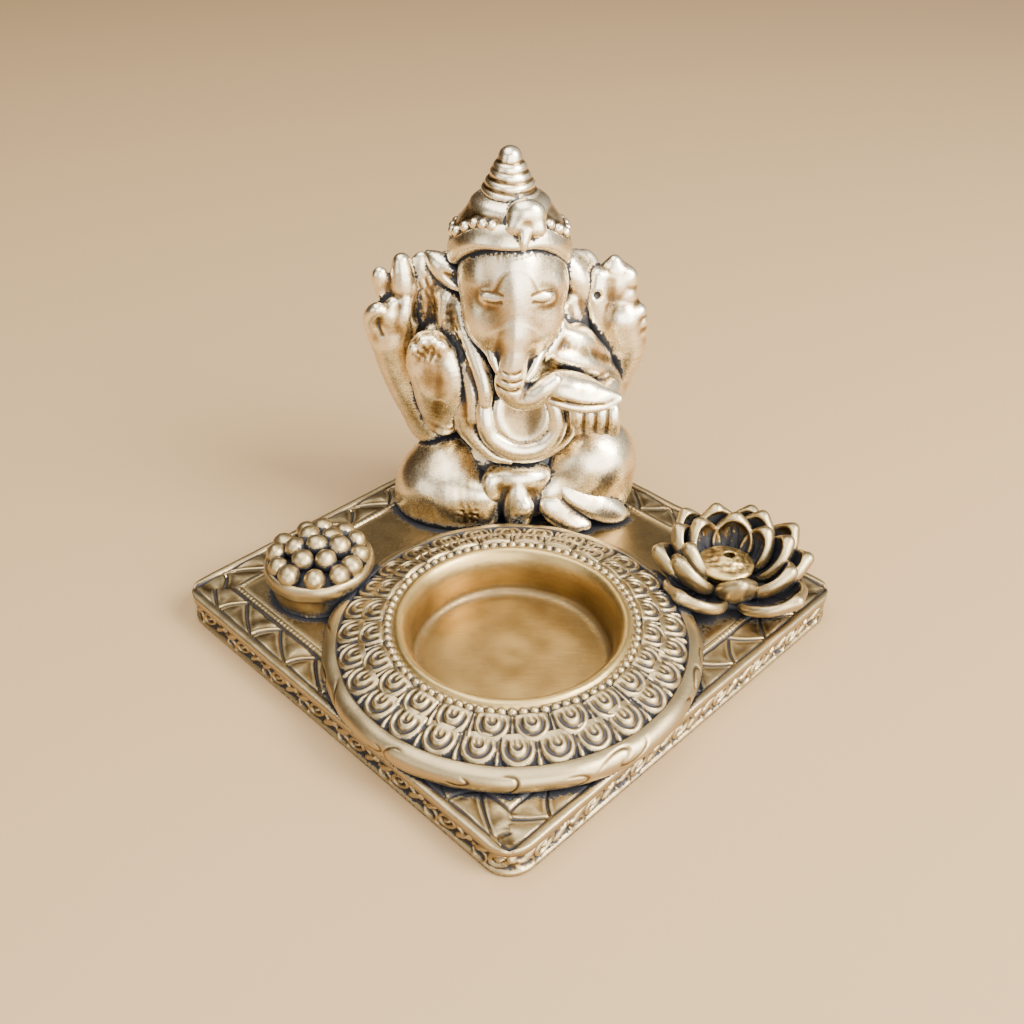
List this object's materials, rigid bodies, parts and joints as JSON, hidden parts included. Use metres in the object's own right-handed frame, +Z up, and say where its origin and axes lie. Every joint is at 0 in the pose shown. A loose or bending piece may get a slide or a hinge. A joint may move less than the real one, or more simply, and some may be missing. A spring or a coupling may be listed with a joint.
{
  "type": "ganesha tealight holder",
  "caption": "Seated four-armed Ganesha on a square corner-first base with a round tealight cup, a bowl of laddus and a lotus incense holder, in antique gold.",
  "frame": {"origin": "middle of the base's underside, on the table", "axes": "+Z up, front corner of the base and the tealight cup towards -Y, the figure's right hand towards -X"},
  "size_m": [0.143, 0.143, 0.0955],
  "materials": {
    "antique_gold": "antique gold paint with a blue-black wash left in the recesses",
    "figure_gold": "pale antique gold paint, burnished on the high points, dark wash in the folds",
    "cup_gold": "smoother warm gold paint with brush marks"
  },
  "bodies": {
    "root": {"base_plate": "antique_gold", "holder_body": "antique_gold", "tealight_cup": "cup_gold", "bead_ring": "antique_gold", "inner_petal_ring": "antique_gold", "outer_petal_ring": "antique_gold", "laddu_bowl": "antique_gold", "laddus": "antique_gold", "lotus_pod": "antique_gold", "lotus_foot": "antique_gold", "lotus_inner_petals": "antique_gold", "lotus_middle_petals": "antique_gold", "lotus_outer_petals": "antique_gold", "torso": "figure_gold", "head": "figure_gold", "crown_band": "figure_gold", "crown_dome": "figure_gold", "crown_spire": "figure_gold", "crown_jewel": "figure_gold", "trunk": "figure_gold", "right_tusk": "figure_gold", "left_tusk": "figure_gold", "right_ear": "figure_gold", "left_ear": "figure_gold", "right_leg": "figure_gold", "left_leg": "figure_gold", "left_foot": "figure_gold", "dhoti_fold": "figure_gold", "scarf": "figure_gold", "shawl": "figure_gold", "upper_right_arm": "figure_gold", "upper_right_hand": "figure_gold", "right_emblem": "figure_gold", "upper_left_arm": "figure_gold", "upper_left_hand": "figure_gold", "left_emblem": "figure_gold", "lower_right_arm": "figure_gold", "lower_right_hand": "figure_gold", "lower_left_arm": "figure_gold", "lower_left_hand": "figure_gold", "sweet": "figure_gold"}
  },
  "joints": []
}
